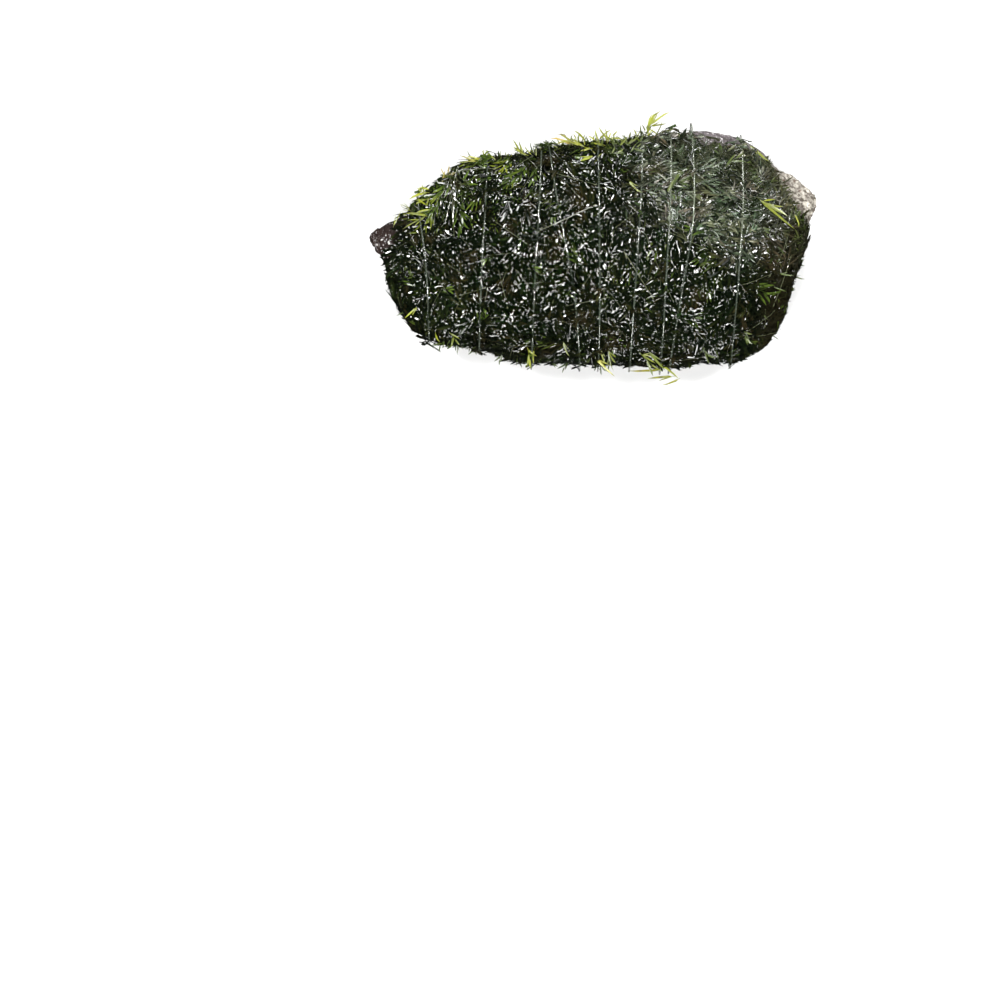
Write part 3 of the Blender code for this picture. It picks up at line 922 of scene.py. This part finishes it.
def line_places(count, chance):
    """Random places on the broad side of the line: the skin below, up, height above the skin, and across."""
    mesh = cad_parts["tie_line"].data
    points = np.array([v.co[:] for v in mesh.vertices])
    points = points[points[:, 2] > BROAD_SIDE_MM * MM]
    picked = points[chance.choice(len(points), count, replace=False)]
    skin, up = stone_skin.nearest(picked)
    height = np.linalg.norm(picked - skin, axis=1)
    across = np.stack([np.ones(count), chance.normal(0, 0.8, count), np.zeros(count)], 1)
    across *= np.where(chance.random(count) < 0.5, -1.0, 1.0)[:, None]
    return skin, up, height, along_skin(across, up)


def make_over_line():
    chance = np.random.default_rng(21)
    skin, up, height, across = line_places(OVER_LINE_COUNT, chance)
    short = [Frond(random.uniform(2.0, 3.4), 0.6, 2.2, 0.46, 24) for _ in range(4)]
    sizes = chance.uniform(0.7, 1.0, OVER_LINE_COUNT)
    roots, root_up = stone_skin.nearest(skin - across * (sizes * 2.2 * MM)[:, None])
    lift = height / MM + OVER_MM
    bunch = Bunch("moss_over_line")
    for kind, pattern in enumerate(short):
        mine = np.arange(OVER_LINE_COUNT) % len(short) == kind
        count = mine.sum()
        laid, mossy = lay(
            pattern, roots[mine], root_up[mine], across[mine], sizes[mine],
            np.full(count, 0.3), np.zeros(count), lift[mine] * MM, power=0.45,
        )
        fresh = np.clip(chance.gamma(0.5, 0.08, count) + 0.4 * young_rim(roots[mine]), 0, 1)
        bunch.add(pattern, laid, fresh, chance.random(count), mossy)
    return bunch.mesh()


finish_piece("moss_over_line", make_over_line(), wet_blade)

# %% [markdown]
# ## Strands
#
# Old bare stems lie over the moss like loose threads. On the far right shoulder they are close together
# and lie on the bare stone. A strand is a frond without blades, laid on top of everything. The few that
# are plainly seen are listed by their ends; the rest lie by chance.

# %% Lay the strands
SHOULDER_STRANDS = 170
LOOSE_STRANDS = 110
STEMS = [
    # root column and row, end column and row, height over the moss in mm
    (535, 238, 592, 211, 0.2),
    (495, 228, 524, 250, 0.15),
    (471, 218, 489, 213, 0.25),
    (545, 178, 592, 190, 0.1),
    (580, 290, 590, 276, 0.1),
    (521, 200, 540, 176, 0.1),
    (621, 258, 650, 300, 0.1),
    (700, 208, 756, 190, 0.1),
    (662, 240, 700, 256, 0.1),
]
RISE_MM, FREE_ROOT_MM = 0.9, 0.9


def on_moss(column, row):
    """The outside of the moss at a pixel, or just beyond the outline its nearest point.

    Farther out it is a point in the air, where one shoot branches off another."""
    x, y = at_pixel(column, row)
    start = Vector((x, y, 40.0)) * MM
    hit = mat_skin.tree.ray_cast(start, Vector((0, 0, -1)))
    if hit[0] is None:
        hit = mat_skin.tree.find_nearest(Vector((x, y, WIDEST_HEIGHT_MM)) * MM)
        if math.hypot(hit[0].x - x * MM, hit[0].y - y * MM) > FREE_ROOT_MM * MM:
            return np.array([x * MM, y * MM, hit[0].z + 0.2 * RISE_MM * MM])
    return np.array(hit[0])


def strand_finish():
    strand = Finish("old_moss_stem")
    tone = strand.stored("tone")
    mottle = strand.cloud(0.8, 2.0)
    colour = strand.blend(tone, (0.022, 0.026, 0.012), (0.13, 0.15, 0.085))
    colour = strand.blend(mottle * 0.5, colour, (0.03, 0.022, 0.014))
    strand.sets(Base_Color=colour, Roughness=0.06 + 0.1 * mottle, Normal=strand.relief(mottle, 0.03))
    return strand


def make_strands():
    chance = np.random.default_rng(33)
    threads = [Frond(random.uniform(4.5, 9.0), 99.0, 0.6, 0.2, 0, random.uniform(0.09, 0.15)) for _ in range(6)]
    places, directions, _ = spread_points(6000, 34)
    on_shoulder = (worn_bare(places) > 0.3) & (places[:, 1] > 0.0)
    first = np.flatnonzero(on_shoulder)[:SHOULDER_STRANDS]
    others = np.flatnonzero(~on_shoulder & (places[:, 2] > BROAD_SIDE_MM * MM))[:LOOSE_STRANDS]
    picked = np.concatenate([first, others])
    places, directions = places[picked], directions[picked]
    angles = chance.uniform(0, 2 * math.pi, len(picked))
    downhill = -math.pi / 2 + chance.normal(0, 0.5, len(picked))
    angles = np.where(np.arange(len(picked)) < len(first), downhill, angles)
    headings = np.stack([np.cos(angles), np.sin(angles), np.zeros(len(picked))], 1)
    headings = along_skin(headings, directions)
    bunch = Bunch("moss_strands")
    for kind, pattern in enumerate(threads):
        mine = np.arange(len(picked)) % len(threads) == kind
        count = mine.sum()
        laid, _ = lay(
            pattern, places[mine], directions[mine], headings[mine], chance.uniform(0.5, 1.0, count),
            np.full(count, 0.8), np.full(count, 1.1), chance.uniform(0.05, 0.3, count) * MM, power=0.5,
        )
        bunch.add(pattern, laid, np.zeros(count), chance.random(count))
    for column, row, end_column, end_row, lift in STEMS:
        start, end = on_moss(column, row), on_moss(end_column, end_row)
        place, up = stone_skin.nearest(start[None])
        length = np.linalg.norm(end - start)
        heading = (end - start)[None] / length
        heading -= up * (heading * up).sum(1, keepdims=True)
        pattern = threads[chance.integers(0, len(threads))]
        laid, _ = lay(
            pattern, place, up, heading, np.array([length / MM / pattern.length]),
            np.array([1.1]), np.array([1.15]), np.array([lift * MM]), power=0.5,
        )
        bunch.add(pattern, laid, np.zeros(1), np.ones(1))
    return bunch.mesh()


finish_piece("moss_strands", make_strands(), strand_finish())

# %% [markdown]
# ## Shoots at the rim
#
# Young shoots stand out past the outline, mostly along the far left rim. Unlike the fronds they are free,
# so each follows a curve in the air: it starts in the moss, bows to one side and ends at its tip. The
# ones that are plainly seen are listed by root and tip; the rest are spread round the rim by chance.

# %% Set the shoots
SHOOTS = [
    # root column and row, tip column and row, bow, kind, how young
    (428, 218, 404, 233, 0.05, 4, 0.5),
    (430, 220, 406, 217, -0.1, 0, 0.6),
    (424, 222, 409, 223, 0.05, 4, 0.75),
    (433, 213, 413, 219, -0.15, 0, 0.5),
    (428, 208, 418, 201, 0.15, 0, 0.5),
    (430, 195, 409, 203, -0.15, 0, 0.76),
    (431, 193, 417, 192, -0.22, 0, 0.72),
    (431, 200, 416, 206, 0.1, 1, 0.66),
    (411, 213, 400, 206, -0.3, 4, 0.84),
    (407, 215, 400, 206, 0.4, 4, 0.88),
    (394, 229, 402, 212, 0.12, 4, 0.8),
    (408, 218, 402, 213, 0.2, 4, 0.7),
    (428, 198, 419, 189, 0.15, 1, 0.55),
    (441, 187, 452, 169, -0.12, 1, 1.0),
    (446, 180, 441, 170, 0.1, 0, 0.95),
    (478, 166, 459, 160, 0.1, 0, 0.92),
    (484, 165, 466, 162, -0.12, 0, 0.8),
    (484, 162, 484, 152, 0.15, 0, 0.72),
    (487, 160, 482, 153, 0.15, 0, 0.55),
    (500, 160, 501, 152, 0.1, 0, 0.4),
    (520, 158, 512, 143, -0.1, 0, 0.55),
    (528, 160, 514, 149, 0.2, 1, 0.72),
    (532, 160, 524, 150, 0.2, 0, 0.66),
    (536, 162, 535, 152, 0.1, 0, 0.42),
    (546, 156, 538, 152, 0.2, 0, 0.75),
    (572, 150, 548, 144, -0.15, 0, 0.96),
    (577, 150, 556, 146, -0.25, 1, 0.88),
    (592, 154, 566, 144, 0.15, 1, 0.84),
    (568, 143, 555, 135, -0.6, 0, 1.0),
    (585, 146, 572, 134, -0.2, 0, 0.72),
    (604, 150, 588, 138, 0.15, 1, 0.74),
    (598, 142, 611, 131, 0.15, 0, 0.62),
    (610, 146, 597, 130, 0.1, 0, 0.6),
    (606, 147, 618, 137, 0.2, 1, 0.6),
    (600, 160, 578, 166, 0.1, 1, 0.72),
    (590, 156, 600, 168, 0.1, 0, 0.85),
    (625, 150, 638, 141, 0.1, 0, 0.35),
    (604, 154, 596, 143, 0.1, 1, 0.3),
    (613, 153, 607, 141, -0.1, 1, 0.34),
    (618, 152, 626, 141, 0.1, 0, 0.34),
    (629, 151, 619, 143, 0.1, 1, 0.28),
    (633, 150, 643, 141, -0.1, 1, 0.3),
    (641, 149, 632, 140, 0.1, 0, 0.36),
    (622, 149, 610, 146, 0.12, 1, 0.3),
    (608, 160, 622, 156, -0.12, 1, 0.34),
    (628, 158, 640, 152, 0.12, 1, 0.3),
    (647, 139, 659, 113, 0.36, 3, 0.76),
    (650, 127, 670, 112, 0.26, 0, 0.7),
    (649, 127, 667, 124, 0.12, 0, 0.72),
    (653, 136, 662, 121, -0.14, 4, 0.5),
    (657, 137, 646, 130, 0.05, 0, 0.74),
    (645, 140, 652, 131, 0.05, 0, 0.7),
    (662, 203, 677, 180, 0.12, 3, 0.3),
    (640, 196, 657, 208, 0.1, 1, 0.25),
    (625, 186, 640, 200, -0.1, 0, 0.35),
    (752, 202, 790, 234, 0.05, 0, 0.48),
    (758, 206, 783, 222, 0.08, 0, 0.5),
    (764, 208, 779, 212, -0.1, 0, 0.54),
    (758, 206, 771, 205, 0.1, 0, 0.58),
    (722, 172, 742, 160, 0.15, 1, 0.25),
    (755, 150, 768, 164, -0.15, 0, 0.5),
    (747, 146, 758, 158, 0.15, 0, 0.4),
    (790, 217, 795, 231, 0.15, 0, 0.8),
    (420, 308, 406, 321, 0.1, 0, 0.5),
    (450, 335, 458, 349, 0.15, 1, 0.5),
    (436, 333, 441, 345, -0.2, 0, 0.7),
    (527, 350, 529, 371, 0.1, 1, 0.62),
    (534, 350, 533, 366, -0.1, 0, 0.75),
    (562, 343, 569, 359, -0.05, 0, 0.42),
    (592, 358, 614, 378, 0.1, 0, 0.84),
    (607, 350, 613, 374, -0.06, 4, 0.5),
    (598, 350, 604, 366, 0.1, 0, 0.42),
    (606, 352, 612, 366, 0.1, 1, 0.4),
    (638, 354, 659, 375, -0.04, 1, 0.32),
    (645, 352, 664, 372, 0.1, 0, 0.3),
    (664, 375, 627, 371, 0.06, 0, 0.86),
    (675, 376, 647, 379, 0.08, 0, 0.86),
    (680, 378, 661, 385, 0.16, 0, 0.86),
    (656, 362, 678, 380, 0.04, 0, 0.7),
    (640, 356, 655, 358, 0.12, 0, 0.5),
    (700, 350, 712, 362, -0.12, 1, 0.3),
]
STRAY_SHOOTS = 560
OF_EACH_KIND = 4
FAR_OUT_MM = 60.0


def set_shoot(pattern, root, tip, bow):
    """The pattern bent along a bow in the air from root to tip, both in metres."""
    run = tip - root
    length = np.linalg.norm(run)
    forward = run / length
    side = np.cross([0.0, 0.0, 1.0], forward)
    side /= np.linalg.norm(side) + 1e-9
    up = np.cross(forward, side)
    middle = (root + tip) / 2 + side * bow * length
    reach = pattern.points[:, 0].max()
    size = length / MM / reach
    share = pattern.points[:, 0:1] / reach
    curve = root * (1 - share) ** 2 + middle * 2 * share * (1 - share) + tip * share**2
    slim = min(size, 0.85)
    lean = (pattern.points[:, 1:2] * share**2).sum() / (share**4).sum()
    across = (pattern.points[:, 1:2] - lean * share**2) * slim * MM
    above = pattern.points[:, 2:3] * slim * MM
    return (curve + side * across + up * above)[None]


def young_finish():
    shoot = Finish("young_shoot")
    fresh, tone = shoot.stored("fresh"), shoot.stored("tone")
    mottle = shoot.cloud(0.7, 2.0)
    side = shoot.stored("side")
    green = shoot.blend(tone, (0.01, 0.022, 0.003), (0.07, 0.1, 0.012))
    yellow = shoot.blend(tone, (0.04, 0.055, 0.004), (0.32, 0.345, 0.018))
    ochre = shoot.blend(tone, (0.06, 0.045, 0.01), (0.34, 0.26, 0.05))
    ripe = fresh + 0.3 * tone + 0.2 * mottle
    colour = shoot.blend(shoot.step(ripe, 0.45, 0.95), green, yellow)
    colour = shoot.blend(shoot.step(ripe, 1.05, 1.3), colour, ochre)
    colour = shoot.blend(shoot.step(mottle, 0.5, 0.7) * 0.6, colour, (0.035, 0.045, 0.006))
    rounded = 0.8 * (1.0 - side * side) + 0.4 * mottle
    shoot.sets(Base_Color=colour, Roughness=0.2 + 0.2 * mottle, Normal=shoot.relief(rounded, 0.05))
    return shoot


def make_shoots():
    chance = np.random.default_rng(44)
    several = range(OF_EACH_KIND)
    kinds = [
        # stem length, blade spacing, blade length and width, how far blades stand out, stem thickness
        [Frond(0.3, 99.0, random.uniform(3.4, 4.4), 0.46, 0, 0.1) for _ in several],
        [Frond(1.5, 0.6, 1.9, 0.42, 24, 0.16) for _ in several],
        [Frond(4.4, 1.0, 2.2, 0.38, 24, 0.17) for _ in several],
        [Frond(0.3, 99.0, 4.4, 0.74, 0, 0.12) for _ in several],
        [Frond(0.3, 99.0, 4.2, 0.3, 0, 0.1) for _ in several],
    ]
    bunch = Bunch("moss_shoots")

    def plant(root, tip, bow, kind, young):
        pattern = kinds[kind][chance.integers(0, OF_EACH_KIND)]
        laid = set_shoot(pattern, root, tip, bow)
        bunch.add(pattern, laid, np.array([young]), chance.random(1), even=True)

    for root_x, root_y, tip_x, tip_y, bow, kind, young in SHOOTS:
        root = on_moss(root_x, root_y)
        x, y = at_pixel(tip_x, tip_y)
        tip = np.array([x * MM, y * MM, root[2] + RISE_MM * MM * chance.uniform(0.3, 0.6)])
        plant(root, tip, bow, kind, young)
    for _ in range(STRAY_SHOOTS):
        angle = chance.uniform(0, 2 * math.pi)
        out = Vector((math.cos(angle), math.sin(angle) * 0.62, 0.0))
        start = Vector((0, 0, chance.uniform(6.0, 12.0) * MM))
        hit = mat_skin.tree.ray_cast(start + out * FAR_OUT_MM * MM, -out)
        if hit[0] is None or hit[3] > FAR_OUT_MM * MM or worn_bare(np.array(hit[0])) > 0.3:
            continue
        youth = float(young_rim(np.array(hit[0])))
        if chance.random() > 0.3 + 0.7 * youth:
            continue
        root = np.array(hit[0]) - np.array(out) * 0.8 * MM
        lean = np.array(hit[1]) * 0.6 + chance.normal(0, 0.6, 3) + np.array([0, 0, 0.2])
        tip = root + lean / np.linalg.norm(lean) * chance.uniform(1.0, 2.3) * MM
        young = chance.random() * (0.32 + 0.42 * youth)
        plant(root, tip, chance.uniform(-0.25, 0.25), int(chance.random() < 0.35), young)
    return bunch.mesh()


finish_piece("moss_shoots", make_shoots(), young_finish())

# %% [markdown]
# ## The tying line
#
# The line is clear nylon of about a quarter of a millimetre, drawn tight. Its CAD solid already has the
# right route and thickness, so a copy with its corners joined takes its place. Over dark moss one sees
# little of such a line but its bright crest. Each point therefore carries a number that is 1 on the crest
# and less to either side, and the finish is nearly clear where the number is low.


# %% Finish the line
def line_finish():
    nylon = Finish("clear_nylon")
    wear = nylon.cloud(1.5, 2.0)
    tone = nylon.blend(wear, (0.03, 0.038, 0.028), (0.11, 0.13, 0.1))
    seen = nylon.step(nylon.cloud(4.0, 2.0), 0.35, 0.65)
    x, y = nylon.along("X"), nylon.along("Y")
    # Painted sheen: on the far right facet the line is painted lighter and more solid.
    painted_facet_sheen = nylon.step(y + FACET_SLANT * x, 3.0, 8.0) * nylon.step(x, 4.0, 9.0)
    tone = nylon.blend(painted_facet_sheen * 0.8, tone, (0.15, 0.17, 0.12))
    crest = nylon.step(nylon.stored("crest"), 0.3, 1.0)
    alpha = 0.1 + crest * (0.3 + 0.4 * seen + 0.2 * painted_facet_sheen)
    nylon.sets(Base_Color=tone, Roughness=0.09 + 0.08 * wear, IOR=1.9, Alpha=alpha)
    return nylon


def make_line():
    """The solid's own skin with its corners joined; each point knows how near the line's crest it is."""
    bm = merged_copy("tie_line")
    bm.normal_update()
    points = np.array([v.co[:] for v in bm.verts])
    outward = np.array([v.normal[:] for v in bm.verts])
    _, away = stone_skin.nearest(points)
    mesh = as_mesh(bm, "clear_line")
    layer = mesh.attributes.new("crest", "FLOAT", "POINT")
    layer.data.foreach_set("value", (outward * away).sum(1).astype(np.float32))
    mesh.shade_smooth()
    return mesh


finish_piece("clear_line", make_line(), line_finish(), "tie_line")
